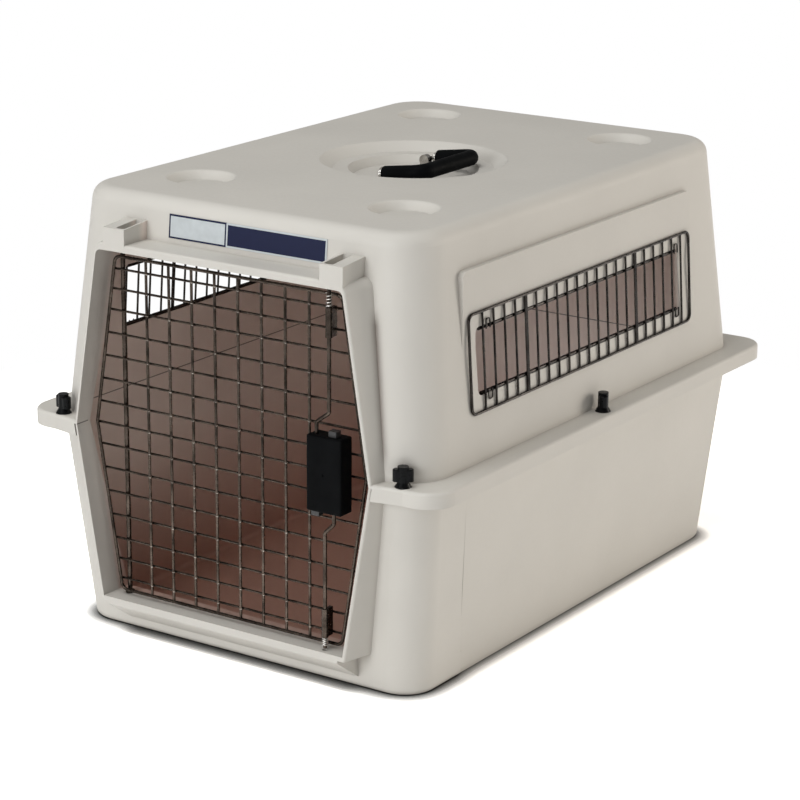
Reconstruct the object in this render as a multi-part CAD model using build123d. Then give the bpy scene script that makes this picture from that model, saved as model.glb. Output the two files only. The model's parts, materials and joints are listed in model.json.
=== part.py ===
from build123d import *

import os
from math import cos, radians, tan

# Two-part plastic pet carrier with a wire mesh door, wire side vents and a folding handle.
# Millimetres.  +X is the carrier's right side, -Y its front, +Z up.
# The origin is the middle of the footprint on the floor.

# ---------------------------------------------------------------- body shells
PART_Z = 230.0          # height where the two shells meet
ROOF_Z = 476.0
WALL = 3.0
BODY_HALF_W = 236.0     # at the meeting plane
BODY_HALF_L = 334.0
BODY_Y = -2.0           # body middle, along Y
ROOF_CORNER_R = 48.0    # upright corners of the upper shell
TUB_CORNER_R = 36.0
ROOF_DRAFT = 5.25       # degrees
TUB_DRAFT = 5.1
TUB_INNER_DRAFT = 5.9   # leaves the walls thicker towards the floor
FLOOR_T = 3.5
ROOF_EDGE_R = 16.0
BASE_EDGE_R = 6.0
BODY_FRONT_Y = BODY_Y - BODY_HALF_L
BODY_REAR_Y = BODY_Y + BODY_HALF_L
FAR = 4 * BODY_HALF_L   # beyond the whole carrier, for cutting solids
ROOF_LEAN = tan(radians(ROOF_DRAFT))
TUB_LEAN = tan(radians(TUB_DRAFT))

# ---------------------------------------------------------------- flange round the middle
FLANGE_SIDE_W = 26.0    # width outside the body
FLANGE_FRONT_W = 12.0
FLANGE_REAR_W = 22.0
FLANGE_CORNER_R = 31.0
FLANGE_T = 3.7
FLANGE_EDGE_R = 3.4
SKIRT_T = 3.5
SKIRT_DROP = 13.0
SKIRT_GAP = 1.0         # between the skirt and the lower flange
LOWER_FLANGE_T = 3.8
FLANGE_NOSE_W = 32.0    # length over which the flange runs forward beside the surround
FLANGE_HALF_W = BODY_HALF_W + FLANGE_SIDE_W
FLANGE_FRONT_Y = BODY_FRONT_Y - FLANGE_FRONT_W
FLANGE_REAR_Y = BODY_REAR_Y + FLANGE_REAR_W
FLANGE_TOP_Z = PART_Z + FLANGE_T
SKIRT_LOW_Z = PART_Z - SKIRT_DROP

# ---------------------------------------------------------------- door surround
SURROUND_PROUD = 18.0   # ahead of the body at the meeting plane
SURROUND_DEPTH = 54.0   # far enough back to end inside the walls
SURROUND_SKIN = 3.2     # round the hollow under the sill
SURROUND_SPLAY = 14.0   # degrees
STRIP_W = 3.0           # face of the surround beside the opening
SHOULDER_R = 12.0       # top outer corners
SURROUND_EDGE_R = 2.6   # front outer edges
OPENING_SIDE_MID = 51.0     # from the body's side to the opening, at the meeting plane
OPENING_SIDE_TOP = 83.0     # at the lintel
OPENING_SIDE_LOW = 82.0     # at the sill
OPENING_CORNER_R = 7.0
LINTEL_DROP = 53.0      # lintel's underside below the roof
LINTEL_T = 8.0
SILL_Z = 46.0           # top of the sill
SILL_T = 4.0
SILL_LIP = 8.0          # upright face above the sloping sill front
SLOPE_FOOT_Z = 11.0     # where the slope meets the tub
NOTCH_IN = 6.0          # from the opening's low corner to the notch under the surround's foot
EAR_H = 16.0            # at the front
EAR_RISE = 4.5          # towards the rear
EAR_W = 27.5
EAR_LAP = 6.0           # part of each ear to the left of its rod
SLOT_W = 11.0           # pocket in each ear
SLOT_WALL = 3.0
SLOT_R = 2.5
LEFT_SLOT_OFF = 8.5     # from the hinge rod to its ear's pocket
RIGHT_SLOT_OFF = -3.3   # from the upper latch rod to its ear's pocket
SPLAY = tan(radians(SURROUND_SPLAY))
FRONT_Y = BODY_FRONT_Y - SURROUND_PROUD
SURROUND_REAR_Y = FRONT_Y + SURROUND_DEPTH
OPENING_HALF_MID = BODY_HALF_W - OPENING_SIDE_MID
OPENING_HALF_TOP = BODY_HALF_W - OPENING_SIDE_TOP
OPENING_HALF_LOW = BODY_HALF_W - OPENING_SIDE_LOW
LINTEL_Z = ROOF_Z - LINTEL_DROP
SHELF_Z = LINTEL_Z + LINTEL_T
EAR_Z = SHELF_Z + EAR_H
NOTCH_X = OPENING_HALF_LOW - NOTCH_IN
NOTCH_TOP_Z = SILL_Z - SILL_T - 1

# ---------------------------------------------------------------- side panels and vents
PANEL_FRONT_IN = 86.0   # from the body's front to the panel
PANEL_REAR_IN = 112.0
PANEL_START = 100.0     # above the meeting plane, still behind the leaning wall
PANEL_TOP_DROP = 45.0   # panel's top below the roof
PANEL_IN = 11.0         # panel's foot inside the body's half-width
PANEL_DRAFT = 0.6
PANEL_CORNER_R = 7.0
VENT_FRONT_IN = 24.3    # from the panel's front to the vent
VENT_REAR_IN = 26.6
VENT_RISE = 70.0        # vent's low edge above the meeting plane
VENT_H = 70.0
VENT_CORNER_R = 6.0
STEP_DROP = 30.0        # tub side step fades out this far below the meeting plane
STEP_DEPTH = 3.0        # at the floor
STEP_TOP_IN = 83.2      # from the body's front to the step, at its top
STEP_LOW_IN = 106.0
CREASE_W = 1.6          # groove beside the step, each way
CREASE_DEPTH = 3.2      # at its foot
CREASE_LOW_Z = 28.0
PANEL_Y = (BODY_FRONT_Y + PANEL_FRONT_IN, BODY_REAR_Y - PANEL_REAR_IN)
PANEL_LOW_Z = PART_Z + PANEL_START
PANEL_TOP_Z = ROOF_Z - PANEL_TOP_DROP
PANEL_HALF_W = BODY_HALF_W - PANEL_IN
VENT_Y = (PANEL_Y[0] + VENT_FRONT_IN, PANEL_Y[1] - VENT_REAR_IN)
VENT_Z = (PART_Z + VENT_RISE, PART_Z + VENT_RISE + VENT_H)

# ---------------------------------------------------------------- vent grille
GRILLE_LAP_FRONT = 15.8     # frame wire outside the vent, on each side
GRILLE_LAP_REAR = 21.6
GRILLE_LAP_LOW = 16.0
GRILLE_LAP_HIGH = 15.5
GRILLE_FRAME_R = 1.5
GRILLE_CORNER_R = 8.0
GRILLE_BAR_R = 1.2
GRILLE_BAR_PITCH = 20.6
GRILLE_FIRST_IN = 25.5      # first and last bars inside the frame
GRILLE_LAST_IN = 19.0
GRILLE_DOUBLED = (4, -6)    # bars that are doubled, counted from the front and from the rear
GRILLE_ROD_R = 2.0
CLIP_R = 0.8
CLIP_HALF_W = 3.6
CLIP_DROP = 10.0
CLIP_BEND_R = 2.5
WELD_GAP = 0.02             # between wires that are drawn touching
GRILLE_Y = (VENT_Y[0] - GRILLE_LAP_FRONT, VENT_Y[1] + GRILLE_LAP_REAR)
GRILLE_Z = (VENT_Z[0] - GRILLE_LAP_LOW, VENT_Z[1] + GRILLE_LAP_HIGH)

# ---------------------------------------------------------------- roof dishes
DIMPLE_SIDE_IN = 107.5  # dimple centres inside the body's sides
DIMPLE_FRONT_IN = 126.0
DIMPLE_REAR_IN = 105.0
DIMPLE_R = 36.5
DIMPLE_FLOOR_R = 28.0
DIMPLE_DEPTH = 9.0
RIM_R = 4.0
RECESS_RIM_R = 102.5
RECESS_LEDGE_OUT_R = 88.0
RECESS_LEDGE_IN_R = 72.0
RECESS_FLOOR_R = 66.0
RECESS_LEDGE_DEPTH = 10.0
RECESS_DEPTH = 19.0
DIMPLE_X = BODY_HALF_W - DIMPLE_SIDE_IN
DIMPLE_Y = (BODY_FRONT_Y + DIMPLE_FRONT_IN, BODY_REAR_Y - DIMPLE_REAR_IN)
RECESS_Z = ROOF_Z - RECESS_DEPTH

# ---------------------------------------------------------------- carrying handle
HANDLE_Y = -5.0
HANDLE_HALF_SPAN = 53.0
HANDLE_REACH = 56.5
HANDLE_TILT = 8.2
PIVOT_X = -7.0
PIVOT_RISE = 11.0       # above the recess floor
HANDLE_WIRE_R = 2.5
HANDLE_WIRE_BEND_R = 5.0
GRIP_R = 8.5
GRIP_BEND_R = 13.0
GRIP_START = 8.0        # along the arm, from the pivot
GRIP_END_R = 2.0
POST_ARM_GAP = 10.0     # from the arm's middle to the post
POST_T = 7.0
POST_WALL = 3.45        # round the eye
POST_FLANGE_R = 7.5
POST_FLANGE_T = 1.5
POST_STUD_R = 2.5
POST_NUT_T = 4.0
POST_NUT_R = 5.5
RUN_GAP = 0.05          # radial clearance of every turning fit
PIVOT_Z = RECESS_Z + PIVOT_RISE
POST_OUTER_Y = HANDLE_HALF_SPAN - POST_ARM_GAP
POST_EYE_R = HANDLE_WIRE_R + RUN_GAP + POST_WALL

# ---------------------------------------------------------------- flange bolts and wing knobs
KNOB_FRONT_X_IN = 20.5  # front knobs inside the body's sides
KNOB_FRONT_OUT = 3.0    # and ahead of its front
KNOB_SIDE_OUT = 11.5
KNOB_SIDE_Y = -5.0
KNOB_REAR_X = 150.0
KNOB_REAR_OUT = 11.0
BOLT_R = 3.0
BOLT_HOLE_GAP = 0.3
BOLT_HEAD_R = 5.0
BOLT_HEAD_T = 3.5
BOLT_TIP_CHAMFER = 0.6
WASHER_R = 5.8
WASHER_T = 1.0
KNOB_R = 10.4           # reach of the wings
KNOB_H = 21.0
KNOB_LOBE_R = 4.6       # wing's half thickness
KNOB_HUB_R = 5.6
KNOB_WING_Z = (6.0, 18.5)
KNOB_TURNS = (-15.0, 34.0, 60.0, 124.0, 15.0, 80.0)   # degrees, in the order of the bolts
KNOB_COLLAR_R = 8.5
KNOB_COLLAR_H = 5.0
KNOB_EDGE_R = 1.4
KNOB_BORE = 17.0        # depth of the knob's blind bore
BOLT_TIP_GAP = 1.0
KNOB_SPOTS = (
    (BODY_HALF_W - KNOB_FRONT_X_IN, BODY_FRONT_Y - KNOB_FRONT_OUT),
    (BODY_HALF_W + KNOB_SIDE_OUT, KNOB_SIDE_Y),
    (KNOB_REAR_X, BODY_REAR_Y + KNOB_REAR_OUT),
)

# ---------------------------------------------------------------- door
DOOR_SET_BACK = 17.0    # outline wire behind the surround's face
DOOR_SIDE_GAP_MID = 14.0    # from the opening's side to the outline wire
DOOR_SIDE_GAP_END = 11.0
DOOR_TOP_GAP = 9.0
DOOR_LOW_GAP = 5.0
DOOR_MID_RISE = 2.0
DOOR_CORNER_R = 8.0
OUTLINE_R = 1.75
VERTICAL_R = 1.5
VERTICAL_IN = 39.8      # outermost uprights inside the outline's corner
VERTICAL_PITCH = 29.2
CROSS_R = 1.25
CROSS_PITCH = 25.4
CROSS_MID_RISE = 1.0
CROSS_MID_STEP = 23.3   # between the middle wire and its neighbours
CROSS_LOW_IN = 11.3     # lowest wire above the outline's foot
CROSS_TOP_IN = 14.3     # highest wire below the outline's top
CROSS_END_STEP = 21.5   # between the last two wires
CROSS_NEXT_STEP = 22.6  # and from there to the next
HINGE_R = 2.5
HINGE_IN = 4.5          # hinge rod inside the outline's top corner
HINGE_UP = 16.0         # rod's reach above the lintel's underside
HINGE_DOWN = 12.0       # and below the sill's top
HINGE_CHAMFER = 0.6
HINGE_WASHER_R = 5.0
HINGE_WASHER_T = 2.5
DOOR_Y = FRONT_Y + DOOR_SET_BACK
DOOR_HALF_MID = OPENING_HALF_MID - DOOR_SIDE_GAP_MID
DOOR_HALF_END = OPENING_HALF_TOP - DOOR_SIDE_GAP_END
DOOR_LOW_Z = SILL_Z + DOOR_LOW_GAP
DOOR_MID_Z = PART_Z + DOOR_MID_RISE
DOOR_TOP_Z = LINTEL_Z - DOOR_TOP_GAP
CROSS_Y = DOOR_Y + OUTLINE_R + CROSS_R + WELD_GAP
CROSS_MID_Z = PART_Z + CROSS_MID_RISE
VERTICAL_Y = CROSS_Y - CROSS_R - VERTICAL_R - WELD_GAP
HINGE_X = HINGE_IN - DOOR_HALF_END
HINGE_Y = CROSS_Y + CROSS_R + HINGE_R + WELD_GAP

# ---------------------------------------------------------------- latch
LATCH_IN = 11.0         # housing's middle inside the outline's top corner
LATCH_RISE = 3.0        # and above the meeting plane
LATCH_W = 42.0
LATCH_H = 79.0
LATCH_WALL = 2.2
LATCH_EDGE_R = 2.0
LATCH_DOT_R = 1.6
LATCH_DOT_DEPTH = 0.8
LATCH_PLATE_T = 2.0
LATCH_PLATE_IN = 3.0    # plate's edge inside the housing's
LATCH_PLATE_R = 4.0
ROD_R = 2.0
ROD_SET_BACK = 8.0      # behind the housing's face
ROD_BEND_R = 4.0
ROD_TIP_GAP = 2.0       # between a drawn-in rod and the lintel or sill
ROD_HOLE_GAP = 1.1
UPPER_ROD_OFF = 1.5     # rods' places from the housing's middle, outside it
SLIDE_GAP = 0.08        # radial clearance of the rods in the housing and guides
LOWER_ROD_OFF = -3.5
UPPER_ROD_BOX_OFF = -13.5   # and inside it
LOWER_ROD_BOX_OFF = 7.5
CRANK_GAP = 12.0        # from the housing to a rod's crank
CRANK_H = 11.0
SLIDE_T = 9.0
SLIDE_W = 9.6
SLIDE_H = 46.0
SLIDE_EDGE_R = 1.0
SLIDE_REAR_OFF = 1.0    # slide's middle behind its rod
TAB_H = 6.0             # part of each slide outside the housing
ROD_IN_SLIDE = 20.0     # rod's end below the top of its slide
ROD_PROUD = 5.0         # lower rod's end above the housing
SLIDE_SIDE_GAP = 0.4
SCREW_OFF = -3.5        # screws from the housing's middle
SCREW_R = 1.25
SCREW_DEPTH = 10.0
SCREW_HEAD_T = 1.5
BOSS_R = 2.8
GUIDE_R = 3.6
GUIDE_TONGUE_W = 4.0
GUIDE_L = 30.0
GUIDE_ABOVE_SILL = 14.0
GUIDE_BELOW_LINTEL = 20.5
LATCH_X = DOOR_HALF_END - LATCH_IN
LATCH_Z = PART_Z + LATCH_RISE
LATCH_LOW_Z = LATCH_Z - LATCH_H / 2
LATCH_TOP_Z = LATCH_Z + LATCH_H / 2
LATCH_REAR_Y = CROSS_Y - CROSS_R
ROD_Y = FRONT_Y + ROD_SET_BACK
UPPER_ROD_X = LATCH_X + UPPER_ROD_OFF
UPPER_ROD_BOX_X = LATCH_X + UPPER_ROD_BOX_OFF
LOWER_ROD_X = LATCH_X + LOWER_ROD_OFF
LOWER_ROD_BOX_X = LATCH_X + LOWER_ROD_BOX_OFF
SCREW_X = LATCH_X + SCREW_OFF
ROD_HOLE_R = ROD_R + ROD_HOLE_GAP

# ---------------------------------------------------------------- label
LABEL_LEFT_X = -87.0
LABEL_RIGHT_X = 109.0
LABEL_TOP_DROP = 15.0   # below the roof
LABEL_H = 24.5
LABEL_T = 0.8


# ---------------------------------------------------------------- small helpers
def box(x, y, z):
    """Box between the low and high ends given for each axis."""
    size = [high - low for low, high in (x, y, z)]
    middle = [(low + high) / 2 for low, high in (x, y, z)]
    return Pos(*middle) * Box(*size)


def cylinder(x, y, z_low, z_high, radius):
    """Upright cylinder."""
    return Pos(x, y, (z_low + z_high) / 2) * Cylinder(radius, z_high - z_low)


def turned(profile):
    """Solid of revolution about Z from (radius, z) corners."""
    return revolve(Plane.XZ * make_face(Polyline(*profile, close=True)), Axis.Z)


def flat_sided(front, rear):
    """Solid with flat faces between two matching rings of corners."""
    faces = [Face(Wire.make_polygon(ring)) for ring in (front, rear)]
    for i, corner in enumerate(front):
        j = (i + 1) % len(front)
        faces.append(Face(Wire.make_polygon([corner, front[j], rear[j], rear[i]])))
    return Part() + Solid(Shell(faces))


def bent_wire(points, radius, bend_radius, close=False):
    """Round wire along straight runs joined by bends."""
    path = FilletPolyline(*points, radius=bend_radius, close=close)
    return sweep(Plane(path @ 0, z_dir=path % 0) * Circle(radius), path=path)


def evenly(first, last, pitch):
    """Places from first to last, as near to the pitch as equal steps allow."""
    steps = max(1, round(abs(last - first) / pitch))
    return [first + i * (last - first) / steps for i in range(steps + 1)]


def both_sides(shape):
    """The shape and its mirror image in the middle plane."""
    return shape + mirror(shape, Plane.YZ)


def upright(edge):
    """Whether an edge climbs rather than running level."""
    size = edge.bounding_box().size
    return size.Z > max(size.X, size.Y)


def turned_down(shape):
    """Mirror image of a shape in the meeting plane."""
    return mirror(shape, Plane.XY.offset(PART_Z))


def body_block(inset, height, draft, corner_r):
    """Block on the meeting plane, drawn in by `inset` and leaning in as it rises."""
    half_w, half_l = BODY_HALF_W - inset, BODY_HALF_L - inset
    plan = Pos(0, BODY_Y, PART_Z) * Rectangle(2 * half_w, 2 * half_l)
    block = extrude(plan, amount=height, taper=draft)
    return fillet(block.edges().filter_by(upright), corner_r - inset)


def wall_y(z):
    """Front wall's outer face at a height in the upper shell."""
    return BODY_FRONT_Y + (z - PART_Z) * ROOF_LEAN


def wall_x(z):
    """Side wall's outer face at a height in the upper shell."""
    return BODY_HALF_W - (z - PART_Z) * ROOF_LEAN


def opening_half(z):
    """Half-width of the six-sided door opening at a height."""
    if z > PART_Z:
        share = (z - PART_Z) / (LINTEL_Z - PART_Z)
        return OPENING_HALF_MID + share * (OPENING_HALF_TOP - OPENING_HALF_MID)
    share = (PART_Z - z) / (PART_Z - SILL_Z)
    return OPENING_HALF_MID + share * (OPENING_HALF_LOW - OPENING_HALF_MID)


# ---------------------------------------------------------------- door surround
def surround_ring(y, z_low, z_high, skin):
    """Cross-section of one half of the surround's outside, drawn in by `skin`."""
    grow = STRIP_W + (y - FRONT_Y) * SPLAY - skin
    low = opening_half(z_low) + grow
    high = opening_half(z_high) + grow
    return [(-low, y, z_low), (low, y, z_low), (high, y, z_high), (-high, y, z_high)]


def upper_surround():
    """Upper half of the frame round the opening, up to the lintel's top."""
    front = surround_ring(FRONT_Y, PART_Z, SHELF_Z, 0)
    frame = flat_sided(front, surround_ring(SURROUND_REAR_Y, PART_Z, SHELF_Z, 0))
    top = frame.edges().group_by(Axis.Z)[-1]
    frame = fillet([edge for edge in top if abs(edge.tangent_at(0).Y) > 0.5], SHOULDER_R)
    return fillet(frame.edges().group_by(Axis.Y)[0].filter_by(upright), SURROUND_EDGE_R)


def lower_surround(skin=0.0):
    """Lower half drawn in by `skin`, with the front under the sill sloping back to the tub."""
    base_y = BODY_FRONT_Y + PART_Z * TUB_LEAN
    slope_z = SILL_Z - SILL_LIP
    slope = (slope_z - SLOPE_FOOT_Z) / (base_y - FRONT_Y)
    lift = skin * (1 + slope * slope) ** 0.5

    def low_z(y):
        return slope_z + lift - (y - FRONT_Y) * slope

    front_y = FRONT_Y + skin
    front = surround_ring(front_y, low_z(front_y), PART_Z, skin)
    rear = surround_ring(SURROUND_REAR_Y, low_z(SURROUND_REAR_Y), PART_Z, skin)
    frame = flat_sided(front, rear)
    return fillet(frame.edges().group_by(Axis.Y)[0].filter_by(upright), SURROUND_EDGE_R)


def opening_cut():
    """Room of the six-sided door opening."""
    sides = [(z, opening_half(z)) for z in (SILL_Z, PART_Z, LINTEL_Z)]
    corners = [(half, z) for z, half in sides] + [(-half, z) for z, half in reversed(sides)]
    front, rear = FRONT_Y - 1, SURROUND_REAR_Y
    cut = flat_sided([(x, front, z) for x, z in corners], [(x, rear, z) for x, z in corners])
    return fillet(cut.edges().filter_by(Axis.Y).group_by(Axis.Z)[-1], OPENING_CORNER_R)


def below():
    return box((-FAR, FAR), (-FAR, FAR), (0, PART_Z))


def ear(rod_x):
    """Box on the lintel over a rod's end, its top rising to the rear."""
    low, high = rod_x - EAR_LAP, rod_x - EAR_LAP + EAR_W
    rings = []
    for y, top in ((FRONT_Y, EAR_Z), (SURROUND_REAR_Y, EAR_Z + EAR_RISE)):
        rings.append([(low, y, LINTEL_Z), (high, y, LINTEL_Z), (high, y, top), (low, y, top)])
    return flat_sided(*rings)


def ear_slot(x_low):
    """Pocket in an ear, open at the top."""
    y = (FRONT_Y + SLOT_WALL, wall_y(EAR_Z) - 1)
    slot = box((x_low, x_low + SLOT_W), y, (SHELF_Z, EAR_Z + EAR_H))
    return fillet(slot.edges().filter_by(Axis.Z), SLOT_R)


def notch():
    """Room under the right foot of the surround."""
    return box((NOTCH_X, FAR), (-FAR, SURROUND_REAR_Y + 1), (-1, NOTCH_TOP_Z))


def under_sill():
    """Hollow behind the sloping front under the sill."""
    half = NOTCH_X - SURROUND_SKIN
    return lower_surround(SURROUND_SKIN) & box((-half, half), (-FAR, 0), (FLOOR_T, SILL_Z - SILL_T))


# ---------------------------------------------------------------- flange
def flange_outline(inset):
    """Plan of the flange, running forward to the door surround in front."""
    length = FLANGE_REAR_Y - FLANGE_FRONT_Y
    middle = (FLANGE_REAR_Y + FLANGE_FRONT_Y) / 2
    plan = Pos(0, middle) * RectangleRounded(2 * FLANGE_HALF_W, length, FLANGE_CORNER_R)
    nose_x = opening_half(PART_Z) + STRIP_W
    end_x = nose_x + FLANGE_NOSE_W
    nose = [(-nose_x, FRONT_Y), (nose_x, FRONT_Y), (end_x, FLANGE_FRONT_Y)]
    nose += [(nose_x, 0), (-nose_x, 0), (-end_x, FLANGE_FRONT_Y)]
    plan += make_face(Polyline(*nose, close=True))
    return offset(plan, -inset, kind=Kind.INTERSECTION) if inset else plan


def flange_slab(inset, z_low, z_high):
    return extrude(Pos(0, 0, z_low) * flange_outline(inset), amount=z_high - z_low)


def bolt_spots():
    """Places of the six flange bolts."""
    return [(side * x, y) for x, y in KNOB_SPOTS for side in (-1, 1)]


def bolt_holes():
    radius = BOLT_R + BOLT_HOLE_GAP
    return Part() + [cylinder(x, y, SKIRT_LOW_Z, FLANGE_TOP_Z + 1, radius) for x, y in bolt_spots()]


# ---------------------------------------------------------------- upper shell
def side_panels(inset):
    """Near-upright panels above the vents, standing proud of the leaning walls."""
    y_low, y_high = PANEL_Y[0] + inset, PANEL_Y[1] - inset
    middle = (y_low + y_high) / 2
    plan = Pos(0, middle, PANEL_LOW_Z) * Rectangle(2 * (PANEL_HALF_W - inset), y_high - y_low)
    block = extrude(plan, amount=PANEL_TOP_Z - inset - PANEL_LOW_Z, taper=PANEL_DRAFT)
    corners = block.edges().filter_by(Axis.X).group_by(Axis.Z)[-1]
    return fillet(corners, PANEL_CORNER_R - inset)


def dimple_spots():
    return [(side * DIMPLE_X, y) for y in DIMPLE_Y for side in (-1, 1)]


def dimple(skin):
    """Shallow dish, deeper and wider by `skin`."""
    floor_z = ROOF_Z - DIMPLE_DEPTH - skin
    profile = [(0, ROOF_Z - skin), (DIMPLE_R + skin / 2, ROOF_Z - skin)]
    return turned(profile + [(DIMPLE_FLOOR_R + skin / 2, floor_z), (0, floor_z)])


def handle_recess(skin):
    """Stepped round dish under the handle, deeper and wider by `skin`."""
    out = skin / 2
    top, ledge, floor = [z - skin for z in (ROOF_Z, ROOF_Z - RECESS_LEDGE_DEPTH, RECESS_Z)]
    profile = [(0, top), (RECESS_RIM_R + out, top), (RECESS_LEDGE_OUT_R + out, ledge)]
    profile += [(RECESS_LEDGE_IN_R + out, ledge), (RECESS_FLOOR_R + out, floor), (0, floor)]
    return turned(profile)


def roof_dishes(skin):
    """All five dishes in the roof."""
    return handle_recess(skin) + [Pos(x, y) * dimple(skin) for x, y in dimple_spots()]


def vent_cut():
    """Both side vents in one cut across the body."""
    width, height = VENT_Y[1] - VENT_Y[0], VENT_Z[1] - VENT_Z[0]
    plan = Pos(sum(VENT_Y) / 2, sum(VENT_Z) / 2) * RectangleRounded(width, height, VENT_CORNER_R)
    return extrude(Plane.YZ * plan, amount=FAR, both=True)


def upper_shell():
    height = ROOF_Z - PART_Z
    outside = body_block(0, height, ROOF_DRAFT, ROOF_CORNER_R)
    outside = fillet(outside.faces().sort_by(Axis.Z)[-1].edges(), ROOF_EDGE_R)
    inside = body_block(WALL, height - WALL, ROOF_DRAFT, ROOF_CORNER_R)
    inside = fillet(inside.faces().sort_by(Axis.Z)[-1].edges(), ROOF_EDGE_R - WALL)

    shell = outside + side_panels(0) + upper_surround() + ear(HINGE_X) + ear(UPPER_ROD_X)
    shell += flange_top()
    shell -= inside + side_panels(WALL)
    shell += (roof_dishes(WALL) & inside) - roof_dishes(0)
    shell -= roof_dishes(0)
    shell = fillet(shell.edges().filter_by(is_roof_rim), RIM_R)

    shell -= opening_cut() + vent_cut()
    shell -= ear_slot(HINGE_X + LEFT_SLOT_OFF) + ear_slot(UPPER_ROD_X + RIGHT_SLOT_OFF)
    shell += skirt() - grown_lower_surround()
    shell -= bolt_holes() + post_holes()
    shell -= cylinder(HINGE_X, HINGE_Y, LINTEL_Z - 1, LINTEL_Z + HINGE_UP + 1, HINGE_R + RUN_GAP)
    return shell - cylinder(UPPER_ROD_X, ROD_Y, LINTEL_Z - 1, EAR_Z, ROD_HOLE_R)


def is_roof_rim(edge):
    """Circular edges where the dishes meet the roof."""
    return edge.geom_type == GeomType.CIRCLE and abs(edge.center().Z - ROOF_Z) < 0.01


def flange_top():
    slab = flange_slab(0, PART_Z, FLANGE_TOP_Z)
    return fillet(slab.faces().sort_by(Axis.Z)[-1].edges(), FLANGE_EDGE_R)


def skirt():
    outer = flange_slab(0, SKIRT_LOW_Z, PART_Z)
    return outer - flange_slab(SKIRT_T, SKIRT_LOW_Z, PART_Z)


def grown_lower_surround():
    """Room the skirt leaves for the lower half of the surround."""
    return lower_surround(-SKIRT_GAP)


def post_spots():
    """Middles of the two handle posts, along Y."""
    reach = POST_OUTER_Y - POST_T / 2
    return [HANDLE_Y + side * reach for side in (-1, 1)]


def post_holes():
    low, high = RECESS_Z - 2 * WALL, RECESS_Z + 1
    return Part() + [cylinder(PIVOT_X, y, low, high, POST_STUD_R + RUN_GAP) for y in post_spots()]


# ---------------------------------------------------------------- lower shell
def side_crease():
    """Groove down the step in the right side, deepest at its foot."""
    top_z = PART_Z - STEP_DROP
    rings = []
    for z, depth in ((top_z, 0), (CREASE_LOW_Z, CREASE_DEPTH)):
        x = BODY_HALF_W - (PART_Z - z) * TUB_LEAN - depth
        step_in = STEP_TOP_IN + (STEP_LOW_IN - STEP_TOP_IN) * (top_z - z) / top_z
        low_y, high_y = [BODY_FRONT_Y + step_in + side * CREASE_W for side in (-1, 1)]
        rings.append([(x, low_y, z), (FLANGE_HALF_W, low_y, z), (FLANGE_HALF_W, high_y, z), (x, high_y, z)])
    return flat_sided(*rings)


def side_step():
    """Sliver taken off the right side behind the front corner."""
    top_z = PART_Z - STEP_DROP
    top_x = BODY_HALF_W - STEP_DROP * TUB_LEAN
    low_x = BODY_HALF_W - PART_Z * TUB_LEAN - STEP_DEPTH
    section = [(top_x, top_z), (low_x, 0), (FLANGE_HALF_W, 0), (FLANGE_HALF_W, top_z)]
    front = [(x, BODY_FRONT_Y + (STEP_TOP_IN if z else STEP_LOW_IN), z) for x, z in section]
    return flat_sided(front, [(x, FLANGE_REAR_Y, z) for x, z in section])


def lower_shell():
    outside = turned_down(body_block(0, PART_Z, TUB_DRAFT, TUB_CORNER_R))
    outside = fillet(outside.faces().sort_by(Axis.Z)[0].edges(), BASE_EDGE_R)
    outside += (lower_surround() & below()) - both_sides(notch())
    outside -= both_sides(side_step() + side_crease())
    inside = turned_down(body_block(WALL, PART_Z - FLOOR_T, TUB_INNER_DRAFT, TUB_CORNER_R))
    inside = fillet(inside.faces().sort_by(Axis.Z)[0].edges(), BASE_EDGE_R)

    shell = outside + flange_slab(SKIRT_T + SKIRT_GAP, PART_Z - LOWER_FLANGE_T, PART_Z)
    shell -= inside
    shell -= under_sill() + opening_cut()
    shell -= bolt_holes()
    shell -= cylinder(HINGE_X, HINGE_Y, NOTCH_TOP_Z, SILL_Z + 1, HINGE_R + RUN_GAP)
    return shell - cylinder(LOWER_ROD_X, ROD_Y, NOTCH_TOP_Z, SILL_Z + 1, ROD_HOLE_R)


# ---------------------------------------------------------------- flange fasteners
def bolt_tip_z():
    return FLANGE_TOP_Z + KNOB_BORE - BOLT_TIP_GAP


def flange_bolt():
    """Hexagon-headed bolt, head under the lower flange."""
    head_top = PART_Z - LOWER_FLANGE_T - WASHER_T
    head = extrude(Pos(0, 0, head_top - BOLT_HEAD_T) * RegularPolygon(BOLT_HEAD_R, 6), amount=BOLT_HEAD_T)
    shank = cylinder(0, 0, head_top, bolt_tip_z(), BOLT_R)
    return head + chamfer(shank.edges().group_by(Axis.Z)[-1], BOLT_TIP_CHAMFER)


def flange_washer():
    top = PART_Z - LOWER_FLANGE_T
    return cylinder(0, 0, top - WASHER_T, top, WASHER_R) - cylinder(0, 0, 0, PART_Z, BOLT_R + RUN_GAP)


def at_bolts(shape):
    return Compound([Pos(x, y) * shape.solid() for x, y in bolt_spots()])


def wing_knob():
    """Two-winged knob with a collar and a blind bore for the bolt."""
    low, high = KNOB_WING_Z
    wings = extrude(Pos(0, 0, low) * SlotOverall(2 * KNOB_R, 2 * KNOB_LOBE_R), amount=high - low)
    wings = fillet(wings.edges().group_by(Axis.Z)[-1], KNOB_EDGE_R)
    collar = Pos(0, 0, KNOB_COLLAR_H / 2) * Cone(KNOB_COLLAR_R, KNOB_HUB_R, KNOB_COLLAR_H)
    knob = wings + collar + cylinder(0, 0, 0, KNOB_H, KNOB_HUB_R)
    knob -= cylinder(0, 0, -1, KNOB_BORE, BOLT_R + RUN_GAP)
    return Pos(0, 0, FLANGE_TOP_Z) * knob


def knob_name(x, y):
    side = "right" if x > 0 else "left"
    place = {BODY_FRONT_Y - KNOB_FRONT_OUT: "front", KNOB_SIDE_Y: "side"}.get(y, "rear")
    return f"knob_{place}_{side}"


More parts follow.
